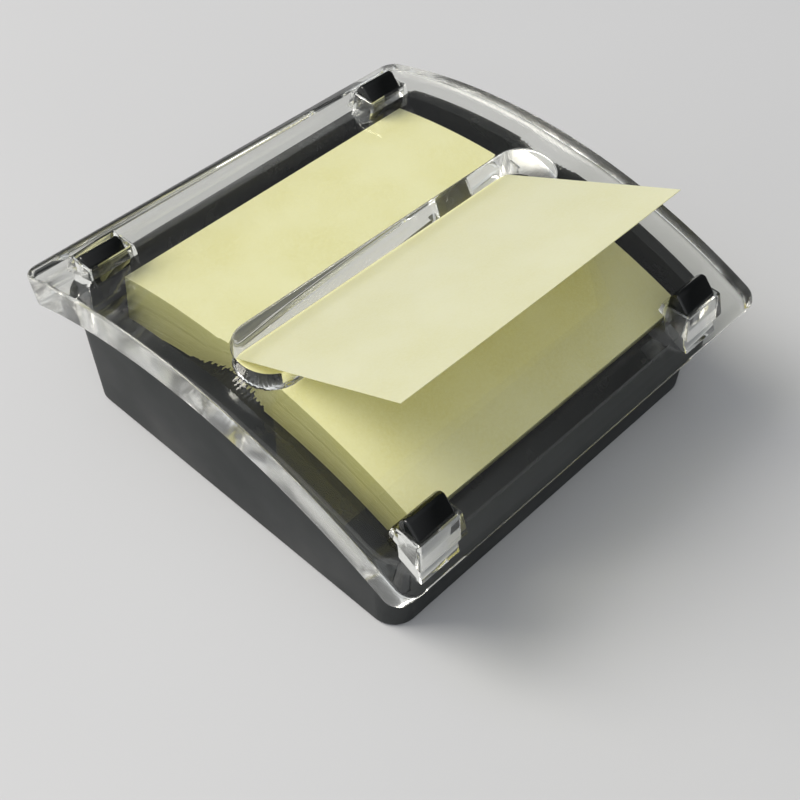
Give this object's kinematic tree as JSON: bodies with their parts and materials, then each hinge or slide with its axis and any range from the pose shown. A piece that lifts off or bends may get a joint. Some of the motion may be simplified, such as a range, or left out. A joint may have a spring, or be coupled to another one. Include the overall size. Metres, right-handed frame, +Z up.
{
  "type": "pop-up note dispenser",
  "caption": "Desk dispenser for square pop-up notes: weighted black base, sunken tray, arched clear cover with a slot, guided by posts.",
  "frame": {"origin": "centre of the underside, on the surface that the feet stand on", "axes": "+Z up, notes are pulled out towards -Y, X along the slot"},
  "size_m": [0.103, 0.103, 0.0511],
  "materials": {
    "shell_plastic": "fine matte",
    "tray_gloss": "glossy, lightly scuffed",
    "post_gloss": "glossy",
    "clear_acrylic": "clear, polished",
    "note_paper": "uncoated pale yellow",
    "foot_rubber": "matte",
    "ballast_steel": "plain",
    "screw_steel": "zinc plated"
  },
  "bodies": {
    "base": {"base_shell": "shell_plastic", "tray": "tray_gloss", "bottom_plate": "shell_plastic", "base_screws": "screw_steel", "ballast_weight": "ballast_steel", "guide_post_front_left": "post_gloss", "guide_post_front_right": "post_gloss", "guide_post_back_left": "post_gloss", "guide_post_back_right": "post_gloss", "foot_front_left": "foot_rubber", "foot_front_right": "foot_rubber", "foot_back_left": "foot_rubber", "foot_back_right": "foot_rubber"},
    "cover": {"clear_cover": "clear_acrylic", "leaf_root": "note_paper"},
    "notes": {"note_pad": "note_paper"},
    "leaf": {"popped_leaf": "note_paper"}
  },
  "joints": [
    {"name": "cover_lift", "type": "slide", "parent": "base", "child": "cover", "axis": [0, 0, 1], "range_m": [0, 0.04]},
    {"name": "pad_lift", "type": "slide", "parent": "base", "child": "notes", "axis": [0, 0, 1], "range_m": [0, 0.02]},
    {"name": "leaf_bend", "type": "hinge", "parent": "cover", "child": "leaf", "pos_m": [0, 0.00319, 0.03252], "axis": [-1, 0, 0], "range_deg": [0, 50]}
  ],
  "couplings": [
    {"joint": "pad_lift", "follows": "cover_lift", "ratio": 0.5}
  ]
}
